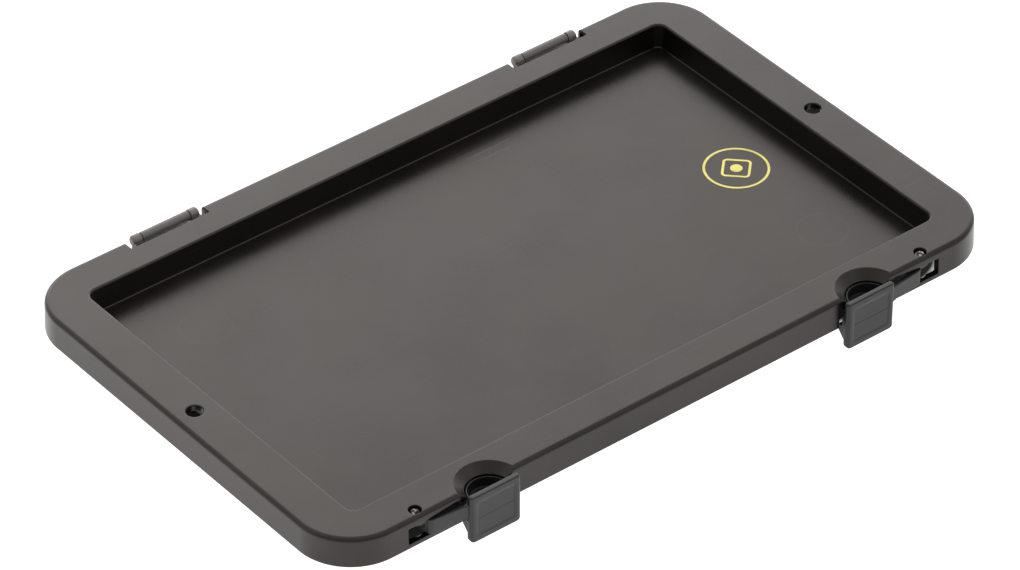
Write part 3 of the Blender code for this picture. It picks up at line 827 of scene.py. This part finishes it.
def latch_hook(side):
    """Hook behind the plate that catches under the container's rim."""
    outline = rounded([
        (PLATE_BACK - PAST, -HOOK_TOP, 0),
        (HOOK_WEB_BACK, -HOOK_TOP, HOOK_NOSE_ROUND),
        (HOOK_WEB_BACK, -HOOK_NOSE_TOP, HOOK_NOSE_ROUND / 2),
        (HOOK_NOSE_BACK, -HOOK_NOSE_TOP, HOOK_NOSE_ROUND),
        (HOOK_NOSE_BACK, -HOOK_NOSE_LOW, 2 * HOOK_NOSE_ROUND),
        (HOOK_WEB_BACK - PAST, -HOOK_BOTTOM, 2 * HOOK_NOSE_ROUND),
        (PLATE_BACK - PAST, -HOOK_BOTTOM, 0),
    ])
    return prism(outline, "X", span(side, HOOK_NEAR, HOOK_FAR))


def build_latch(side, material):
    """One-piece snap latch."""
    tag = side_name(side)
    eye_centre = (side * LATCH_PIN_X, LATCH_PIN_Y, 0)
    latch = latch_plate(side)
    add(latch, latch_arm(side), latch_cup(side), latch_hook(side))
    bore = [
        (0, -EYE_BOTTOM - SEAT_STEP),
        (LATCH_PIN_HOLE, -EYE_BOTTOM - SEAT_STEP),
        (LATCH_PIN_HOLE, -ARM_TOP + PAST),
        (0, -ARM_TOP + PAST),
    ]
    cut(latch, lathe(bore, eye_centre, steps=SMALL_STEPS))
    name = "snap_latch_" + tag
    place_piece(latch, name, material, tag + "_latch", ["latch_" + tag])


def build_latch_pin(side, material):
    """Upright pin with a domed and slotted head, pressed in almost flush with the rim."""
    tag = side_name(side)
    rise = LATCH_PIN_SHOULDER - LATCH_PIN_TOP
    dome_radius = (LATCH_PIN_RADIUS ** 2 + rise ** 2) / (2 * rise)
    dome_angle = math.asin(LATCH_PIN_RADIUS / dome_radius)
    profile = rounded([
        (0, -LATCH_PIN_BOTTOM, 0),
        (LATCH_PIN_RADIUS, -LATCH_PIN_BOTTOM, LATCH_PIN_ROUND),
        (LATCH_PIN_RADIUS, -LATCH_PIN_SHOULDER, 0),
        (0, -LATCH_PIN_SHOULDER, 0),
    ])[:-1]
    for step in range(1, 2 * EDGE_STEPS):
        angle = dome_angle * (1 - step / (2 * EDGE_STEPS))
        height = -LATCH_PIN_TOP - dome_radius * (1 - math.cos(angle))
        profile.append((dome_radius * math.sin(angle), height))
    profile.append((0, -LATCH_PIN_TOP))
    pin = lathe(profile, (0, 0, 0), steps=SMALL_STEPS)
    half = LATCH_PIN_SLOT / 2
    reach = 2 * LATCH_PIN_RADIUS
    slot = box((-reach, reach), (-half, half), (-LATCH_PIN_TOP - LATCH_PIN_SLOT_DEPTH, 0))
    slot.data.transform(Matrix.Rotation(math.radians(LATCH_PIN_SLOT_TURN), 4, "Z"))
    cut(pin, slot)
    pin.data.transform(Matrix.Translation((side * LATCH_PIN_X, LATCH_PIN_Y, 0)))
    place_piece(pin, "slotted_latch_pin_" + tag, material, "lid", ["latch_pin_" + tag])


def build_hinge_clip(side, material):
    """Barrel with a barbed leaf that snaps behind the container's rim."""
    tag = side_name(side)
    middle = hinge_middle(side)
    half = HINGE_HALF - KNUCKLE_LENGTH - BARREL_GAP
    start = middle - half
    end = middle + half
    clip = lathe(rounded([
        (0, start, 0),
        (BARREL_RADIUS, start, BARREL_ROUND),
        (BARREL_RADIUS, end, BARREL_ROUND),
        (0, end, 0),
    ]), (0, HINGE_Y, HINGE_Z), "X", SMALL_STEPS)
    leaf = prism(rounded([
        (CLIP_FRONT, HINGE_Z, 0),
        (CLIP_BACK, HINGE_Z, 0),
        (CLIP_BACK, -CLIP_BOTTOM, CLIP_ROUND),
        (CLIP_FRONT, -CLIP_BOTTOM, CLIP_ROUND),
        (CLIP_BARB_FRONT, -CLIP_BARB_LOW, CLIP_ROUND),
        (CLIP_BARB_FRONT, -CLIP_BARB_TOP, CLIP_BARB_ROUND),
        (CLIP_FRONT, -CLIP_BARB_TOP, 0),
    ]), "X", (start + LEAF_INSET, end - LEAF_INSET))
    add(clip, leaf)
    window = rounded([
        (middle - CLIP_WINDOW_HALF, -CLIP_WINDOW_TOP, CLIP_ROUND),
        (middle + CLIP_WINDOW_HALF, -CLIP_WINDOW_TOP, CLIP_ROUND),
        (middle + CLIP_WINDOW_HALF, -CLIP_WINDOW_BOTTOM, CLIP_ROUND),
        (middle - CLIP_WINDOW_HALF, -CLIP_WINDOW_BOTTOM, CLIP_ROUND),
    ])
    cut(clip, prism(window, "Y", (CLIP_BARB_FRONT - PAST, CLIP_BACK + PAST)))
    bore = [
        (0, start - PAST),
        (HINGE_BORE_RADIUS, start - PAST),
        (HINGE_BORE_RADIUS, end + PAST),
        (0, end + PAST),
    ]
    cut(clip, lathe(bore, (0, HINGE_Y, HINGE_Z), "X", SMALL_STEPS))
    name = "container_clip_" + tag
    place_piece(clip, name, material, tag + "_clip", ["hinge_clip_" + tag])


def build_hinge_pin(side, material):
    """Steel pin through the clip's barrel and both knuckles."""
    tag = side_name(side)
    middle = hinge_middle(side)
    start = middle - HINGE_HALF + KNUCKLE_BLIND + HINGE_PIN_SETBACK
    end = middle + HINGE_HALF - HINGE_PIN_SETBACK
    pin = lathe(rounded([
        (0, start, 0),
        (HINGE_PIN_RADIUS, start, HINGE_PIN_ROUND),
        (HINGE_PIN_RADIUS, end, HINGE_PIN_ROUND),
        (0, end, 0),
    ]), (0, HINGE_Y, HINGE_Z), "X", SMALL_STEPS)
    place_piece(pin, "drawn_hinge_pin_" + tag, material, "lid", ["hinge_pin_" + tag])


def disc(radius, limits):
    """Round plate of the printed mark."""
    profile = [(0, limits[0]), (radius, limits[0]), (radius, limits[1]), (0, limits[1])]
    return lathe(profile, (MARK_X, MARK_Y, 0))


def diamond(reach, corner, limits):
    """Diamond plate of the printed mark."""
    tips = ((reach, 0), (0, reach), (-reach, 0), (0, -reach))
    outline = rounded([(MARK_X + u, MARK_Y + v, corner) for u, v in tips])
    return prism(outline, "Z", limits)


def build_mark(material):
    """Plain print on the recess floor: a ring, a diamond and a dot."""
    limits = (-RECESS_DEPTH - MARK_THICKNESS, -RECESS_DEPTH + MARK_THICKNESS)
    hollow_limits = (limits[0] - PAST, limits[1] + PAST)
    ring = disc(MARK_RADIUS + MARK_LINE / 2, limits)
    cut(ring, disc(MARK_RADIUS - MARK_LINE / 2, hollow_limits))
    outline = diamond(MARK_DIAMOND, 2 * MARK_LINE, limits)
    inner_reach = MARK_DIAMOND - MARK_LINE * math.sqrt(2)
    cut(outline, diamond(inner_reach, MARK_LINE, hollow_limits))
    add(ring, outline, disc(MARK_DOT, limits))
    place_piece(ring, "printed_mark", material, "lid")


class Nodes:
    """Short way to add and join a material's nodes."""

    def __init__(self, tree):
        self.tree = tree

    def new(self, kind, **values):
        """Add a node; keywords set its properties, or its inputs when the name starts with in_."""
        node = self.tree.nodes.new(kind)
        for key, value in values.items():
            if key.startswith("in_"):
                node.inputs[key[3:].replace("_", " ")].default_value = value
            else:
                setattr(node, key, value)
        return node

    def link(self, start, end):
        """Join an output to an input."""
        self.tree.links.new(start, end)

    def noise(self, vector, kind):
        """Noise of a kind, given as its scale, detail and roughness; returns its value."""
        scale, detail, roughness = kind
        node = self.new("ShaderNodeTexNoise", in_Scale=scale, in_Detail=detail, in_Roughness=roughness)
        self.link(vector, node.inputs["Vector"])
        return node.outputs["Fac"]

    def ramp(self, value, low, high, start=0.0, end=1.0):
        """Map a value from one range to another."""
        node = self.new("ShaderNodeMapRange", clamp=True)
        node.inputs["From Min"].default_value = start
        node.inputs["From Max"].default_value = end
        node.inputs["To Min"].default_value = low
        node.inputs["To Max"].default_value = high
        self.link(value, node.inputs["Value"])
        return node.outputs["Result"]

    def mix(self, factor, first, second):
        """Blend two colours by a factor."""
        node = self.new("ShaderNodeMix", data_type="RGBA")
        self.link(factor, node.inputs["Factor"])
        for socket, colour in ((node.inputs["A"], first), (node.inputs["B"], second)):
            if isinstance(colour, tuple):
                socket.default_value = (*colour, 1.0)
            else:
                self.link(colour, socket)
        return node.outputs["Result"]

    def math(self, operation, *values):
        """Simple sum on one value or two."""
        node = self.new("ShaderNodeMath", operation=operation)
        for socket, value in zip(node.inputs, values):
            if isinstance(value, (int, float)):
                socket.default_value = value
            else:
                self.link(value, socket)
        return node.outputs["Value"]

    def bump(self, height, kind, normal=None):
        """Bump of a kind from a height, on top of another normal if one is given."""
        strength, distance = kind
        node = self.new("ShaderNodeBump", in_Strength=strength, in_Distance=distance * MM)
        self.link(height, node.inputs["Height"])
        if normal is not None:
            self.link(normal, node.inputs["Normal"])
        return node.outputs["Normal"]


def new_material(name, colour):
    """Material with a Principled shader; returns it, its node helper and its shader."""
    material = bpy.data.materials.new(name)
    material.use_nodes = True
    material.diffuse_color = (*colour, 1.0)
    shader = material.node_tree.nodes["Principled BSDF"]
    return material, Nodes(material.node_tree), shader


def ring_trace(nodes, place, centre):
    """Thin circle that a gate left in the panel, as a mask."""
    offset = nodes.new("ShaderNodeVectorMath", operation="DISTANCE")
    nodes.link(place, offset.inputs[0])
    offset.inputs[1].default_value = ORIGIN + Vector((*centre, -RECESS_DEPTH)) * MM
    away = nodes.math("SUBTRACT", offset.outputs["Value"], GATE_RING_RADIUS * MM)
    return nodes.ramp(nodes.math("ABSOLUTE", away), 1.0, 0.0, 0.0, TRACE_WIDTH * MM)


def hinge_top_light_mask(nodes, place):
    """Mask of painted light: the paler, lit upper side of the knuckles and barrels."""
    parts = nodes.new("ShaderNodeSeparateXYZ")
    nodes.link(place, parts.inputs["Vector"])
    rise = nodes.math("SUBTRACT", parts.outputs["Z"], ORIGIN.z + HINGE_Z * MM)
    back = nodes.math("SUBTRACT", parts.outputs["Y"], ORIGIN.y + HINGE_Y * MM)
    squares = nodes.math("ADD", nodes.math("MULTIPLY", rise, rise), nodes.math("MULTIPLY", back, back))
    near = nodes.math("LESS_THAN", nodes.math("SQRT", squares), HINGE_PAINTED_LIGHT_REACH * MM)
    along = nodes.math("SUBTRACT", nodes.math("ABSOLUTE", parts.outputs["X"]), NOTCH_X * MM)
    inside = nodes.math("LESS_THAN", nodes.math("ABSOLUTE", along), HINGE_PAINTED_LIGHT_HALF * MM)
    upper = nodes.ramp(rise, 0.0, 1.0, HINGE_PAINTED_LIGHT_LOW * MM, HINGE_PAINTED_LIGHT_HIGH * MM)
    return nodes.math("MULTIPLY", upper, nodes.math("MULTIPLY", near, inside))


def scuff_mask(nodes, place):
    """Mask of fine scuff lines that lie in patches."""
    stretched = nodes.new("ShaderNodeMapping")
    stretched.inputs["Rotation"].default_value = STREAK_TURN
    stretched.inputs["Scale"].default_value = STREAK_STRETCH
    nodes.link(place, stretched.inputs["Vector"])
    streak = nodes.noise(stretched.outputs["Vector"], STREAK_NOISE)
    patch = nodes.noise(place, PATCH_NOISE)
    lines = nodes.ramp(streak, 0.0, 1.0, *STREAK_RANGE)
    return nodes.math("MULTIPLY", lines, nodes.ramp(patch, 0.0, 1.0, *PATCH_RANGE))


def edge_wear_and_highlight_mask(nodes, soft_normal, ripple):
    """Mask of worn edges, which also paints a highlight along them: where a softened normal turns away
    from the face's own, unevenly.
    """
    plain = nodes.new("ShaderNodeNewGeometry").outputs["True Normal"]
    turn = nodes.new("ShaderNodeVectorMath", operation="DOT_PRODUCT")
    nodes.link(soft_normal, turn.inputs[0])
    nodes.link(plain, turn.inputs[1])
    edge = nodes.ramp(turn.outputs["Value"], 1.0, 0.0, *EDGE_RANGE)
    return nodes.math("MULTIPLY", edge, nodes.ramp(ripple, *EDGE_COVER, *NARROW_MIDDLE))


def specular_level(nodes, place, cloud):
    """Level of the reflections, with painted light brighter to the left, back and rim and dimmer to the
    right, front and recess floor, and with random patches.
    """
    parts = nodes.new("ShaderNodeSeparateXYZ")
    nodes.link(place, parts.inputs["Vector"])
    floor_height = PANEL_HIGH.z - RECESS_DEPTH * MM
    level = nodes.ramp(parts.outputs["X"], *PAINTED_LEVEL_ALONG, PANEL_LOW.x, PANEL_HIGH.x)
    across = nodes.ramp(parts.outputs["Y"], *PAINTED_LEVEL_ACROSS, PANEL_LOW.y, PANEL_HIGH.y)
    up = nodes.ramp(parts.outputs["Z"], *PAINTED_LEVEL_UP, floor_height, PANEL_HIGH.z)
    drift = nodes.ramp(cloud, *LEVEL_DRIFT, *NARROW_MIDDLE)
    for change in (across, up, drift):
        level = nodes.math("ADD", level, change)
    return level


def plastic(name, colour, wear_and_highlight, sheen, roughness, painted_top_light=None, traces=()):
    """Moulded black plastic: fine spark texture, faint flow marks, scuffs, worn edges with a painted
    highlight, and a painted paler top on the hinges.
    """
    material, nodes, shader = new_material(name, colour)
    place = nodes.new("ShaderNodeTexCoord").outputs["Object"]
    cloud = nodes.noise(place, CLOUD_NOISE)
    grain = nodes.noise(place, GRAIN_NOISE)
    ripple = nodes.noise(place, RIPPLE_NOISE)
    scuff = scuff_mask(nodes, place)
    soft_edge = nodes.new("ShaderNodeBevel", samples=SOFT_EDGE_SAMPLES, in_Radius=SOFT_EDGE_RADIUS * MM)
    soft_normal = soft_edge.outputs["Normal"]
    edge = edge_wear_and_highlight_mask(nodes, soft_normal, ripple)

    darker = tuple((1 - TONE_SWING) * part for part in colour)
    paler = tuple((1 + TONE_SWING) * part for part in colour)
    tone = nodes.mix(nodes.ramp(cloud, 0.0, 1.0, *WIDE_MIDDLE), darker, paler)
    tone = nodes.mix(nodes.math("MULTIPLY", scuff, SCUFF_STRENGTH), tone, wear_and_highlight)
    # Pale worn edges, which also stand in as a painted highlight along the edges.
    tone = nodes.mix(nodes.math("MULTIPLY", edge, EDGE_WEAR_AND_HIGHLIGHT_STRENGTH), tone, wear_and_highlight)
    for centre in traces:
        trace = nodes.math("MULTIPLY", ring_trace(nodes, place, centre), TRACE_STRENGTH)
        tone = nodes.mix(trace, tone, wear_and_highlight)
    # Painted light: the upper side of the hinges is made paler, as if lit from above.
    if painted_top_light:
        tone = nodes.mix(hinge_top_light_mask(nodes, place), tone, painted_top_light)
    nodes.link(tone, shader.inputs["Base Color"])

    smudge = nodes.noise(place, SMUDGE_NOISE)
    tint = nodes.mix(nodes.ramp(smudge, 0.0, 1.0, *NARROW_MIDDLE), *sheen)
    nodes.link(tint, shader.inputs["Specular Tint"])
    nodes.link(specular_level(nodes, place, cloud), shader.inputs["Specular IOR Level"])

    gloss = nodes.ramp(cloud, roughness - ROUGHNESS_SWING, roughness + ROUGHNESS_SWING, *WIDE_MIDDLE)
    gloss = nodes.math("ADD", gloss, nodes.ramp(grain, -GRAIN_ROUGHNESS, GRAIN_ROUGHNESS, *WIDE_MIDDLE))
    gloss = nodes.math("SUBTRACT", gloss, nodes.math("MULTIPLY", scuff, SCUFF_SHINE))
    nodes.link(gloss, shader.inputs["Roughness"])

    normal = nodes.bump(grain, GRAIN_BUMP, soft_normal)
    normal = nodes.bump(ripple, RIPPLE_BUMP, normal)
    nodes.link(normal, shader.inputs["Normal"])
    return material


def steel(name, colour, spot):
    """Drawn steel wire: fine lines and small spots of another shade."""
    material, nodes, shader = new_material(name, colour)
    shader.inputs["Metallic"].default_value = 1.0
    place = nodes.new("ShaderNodeTexCoord").outputs["Object"]
    stretched = nodes.new("ShaderNodeMapping")
    stretched.inputs["Scale"].default_value = WIRE_STRETCH
    nodes.link(place, stretched.inputs["Vector"])
    lines = nodes.noise(stretched.outputs["Vector"], WIRE_LINE_NOISE)
    spots = nodes.noise(place, WIRE_SPOT_NOISE)
    tone = nodes.mix(nodes.ramp(spots, 0.0, 1.0, *WIRE_SPOT_RANGE), colour, spot)
    nodes.link(tone, shader.inputs["Base Color"])
    gloss = nodes.ramp(lines, *WIRE_ROUGHNESS, *WIDE_MIDDLE)
    gloss = nodes.math("ADD", gloss, nodes.ramp(spots, *WIRE_SPOT_ROUGHNESS, *WIRE_DULL_RANGE))
    nodes.link(gloss, shader.inputs["Roughness"])
    nodes.link(nodes.bump(lines, WIRE_BUMP), shader.inputs["Normal"])
    return material


def print_ink(name, colour):
    """Screen-printed ink: slightly uneven cover, with pinholes where the floor's grain shows."""
    material, nodes, shader = new_material(name, colour)
    place = nodes.new("ShaderNodeTexCoord").outputs["Object"]
    cover = nodes.noise(place, INK_COVER_NOISE)
    cloud = nodes.noise(place, INK_CLOUD_NOISE)
    darker = tuple(INK_CLOUD_TONE * part for part in colour)
    tone = nodes.mix(nodes.ramp(cloud, 0.0, 1.0, *WIDE_MIDDLE), colour, darker)
    pinholes = nodes.ramp(cover, 0.0, INK_PINHOLE_STRENGTH, *INK_PINHOLE_RANGE)
    nodes.link(nodes.mix(pinholes, tone, INK_PINHOLE), shader.inputs["Base Color"])
    nodes.link(nodes.ramp(cloud, *INK_ROUGHNESS, *WIDE_MIDDLE), shader.inputs["Roughness"])
    nodes.link(nodes.bump(cover, INK_BUMP), shader.inputs["Normal"])
    return material


def floor_glow(nodes):
    """Emission of the table, which dies away under the lid inside a rounded rectangle: a painted shadow
    under the lid.
    """
    place = nodes.new("ShaderNodeTexCoord").outputs["Object"]
    parts = nodes.new("ShaderNodeSeparateXYZ")
    nodes.link(place, parts.inputs["Vector"])
    squares = []
    for axis, half in (("X", SHADE_HALF_LENGTH), ("Y", SHADE_HALF_WIDTH)):
        straight_half = (half - CORNER_RADIUS) * MM
        beyond = nodes.math("SUBTRACT", nodes.math("ABSOLUTE", parts.outputs[axis]), straight_half)
        beyond = nodes.math("MAXIMUM", beyond, 0.0)
        squares.append(nodes.math("MULTIPLY", beyond, beyond))
    outside = nodes.math("SQRT", nodes.math("ADD", *squares))
    shade_limits = ((CORNER_RADIUS - SHADE_BLUR) * MM, CORNER_RADIUS * MM)
    return nodes.ramp(outside, 0.0, FLOOR_GLOW, *shade_limits)


def build_floor():
    """Pale table that shines as a light table does, with a painted shadow under the lid where it does
    not shine.
    """
    mesh_data = bmesh.new()
    bmesh.ops.create_grid(mesh_data, x_segments=FLOOR_CELLS, y_segments=FLOOR_CELLS, size=FLOOR_SIZE / 2)
    mesh = bpy.data.meshes.new("table")
    mesh_data.to_mesh(mesh)
    mesh_data.free()
    table = bpy.data.objects.new("table", mesh)
    table.location.z = FLOOR_Z
    bpy.context.scene.collection.objects.link(table)
    material, nodes, shader = new_material("table_white", FLOOR_COLOUR)
    shader.inputs["Base Color"].default_value = (*FLOOR_COLOUR, 1.0)
    shader.inputs["Roughness"].default_value = FLOOR_ROUGHNESS
    shader.inputs["Specular IOR Level"].default_value = 0.0
    shader.inputs["Emission Color"].default_value = (1.0, 1.0, 1.0, 1.0)
    nodes.link(floor_glow(nodes), shader.inputs["Emission Strength"])
    mesh.materials.append(material)


def build_world():
    """Studio that is brightest on the far side from the camera and dimmer near the horizon."""
    world = bpy.data.worlds.new("studio")
    world.use_nodes = True
    bpy.context.scene.world = world
    nodes = Nodes(world.node_tree)
    away = math.radians(CAMERA_AZIMUTH)
    direction = nodes.new("ShaderNodeTexCoord").outputs["Generated"]
    dot = nodes.new("ShaderNodeVectorMath", operation="DOT_PRODUCT")
    nodes.link(direction, dot.inputs[0])
    dot.inputs[1].default_value = (-math.sin(away), math.cos(away), 0.0)
    ramp = nodes.new("ShaderNodeValToRGB")
    nodes.link(nodes.ramp(dot.outputs["Value"], 0.0, 1.0, -1.0, 1.0), ramp.inputs["Fac"])
    elements = ramp.color_ramp.elements
    for element, (position, value) in zip(elements, (WORLD_STOPS[0], WORLD_STOPS[-1])):
        element.position = position
        element.color = (value, value, value, 1.0)
    for position, value in WORLD_STOPS[1:-1]:
        elements.new(position).color = (value, value, value, 1.0)
    background = world.node_tree.nodes["Background"]
    nodes.link(ramp.outputs["Color"], background.inputs["Color"])
    parts = nodes.new("ShaderNodeSeparateXYZ")
    nodes.link(direction, parts.inputs["Vector"])
    strength = nodes.ramp(parts.outputs["Z"], WORLD_LOW_LIGHT, 1.0, 0.0, WORLD_LOW_RISE)
    nodes.link(strength, background.inputs["Strength"])


def build_camera():
    """Long lens, looking down on the latch side."""
    azimuth = math.radians(CAMERA_AZIMUTH)
    elevation = math.radians(CAMERA_ELEVATION)
    toward = Vector((
        math.sin(azimuth) * math.cos(elevation),
        -math.cos(azimuth) * math.cos(elevation),
        math.sin(elevation),
    ))
    camera = bpy.data.objects.new("camera", bpy.data.cameras.new("camera"))
    camera.data.lens = CAMERA_LENS
    camera.data.sensor_width = CAMERA_SENSOR
    camera.data.clip_start = CAMERA_NEAREST
    camera.data.clip_end = CAMERA_FARTHEST
    camera.location = CAMERA_AIM + toward * CAMERA_DISTANCE
    camera.rotation_mode = "QUATERNION"
    camera.rotation_quaternion = (-toward).to_track_quat("-Z", "Y")
    bpy.context.scene.collection.objects.link(camera)
    bpy.context.scene.camera = camera


def build_lid():
    """Every piece of the lid."""
    panel_plastic = plastic("panel_plastic", PANEL_COLOUR, PANEL_WEAR_AND_HIGHLIGHT, WARM_SHEEN, PANEL_ROUGHNESS,
                            PANEL_PAINTED_LIGHT, GATE_RING_PLACES)
    fitting_plastic = plastic("fitting_plastic", FITTING_COLOUR, FITTING_WEAR_AND_HIGHLIGHT, COOL_SHEEN,
                              FITTING_ROUGHNESS)
    clip_plastic = plastic("clip_plastic", CLIP_COLOUR_WITH_PAINTED_LIGHT, CLIP_WEAR_AND_HIGHLIGHT, COOL_SHEEN, CLIP_ROUGHNESS,
                           CLIP_PAINTED_LIGHT)
    pin_steel = steel("pin_steel", PIN_STEEL, PIN_STEEL_SPOT)
    black_steel = steel("black_steel", BLACK_STEEL, BLACK_STEEL_SPOT)
    yellow_ink = print_ink("yellow_ink", INK_COLOUR)
    build_panel(panel_plastic)
    for side in (-1, 1):
        build_latch(side, fitting_plastic)
        build_latch_pin(side, black_steel)
        build_hinge_clip(side, clip_plastic)
        build_hinge_pin(side, pin_steel)
    build_mark(yellow_ink)


build_camera()
build_world()
build_floor()
build_lid()
bpy.context.scene.view_settings.view_transform = "Standard"

bpy.context.view_layer.update()
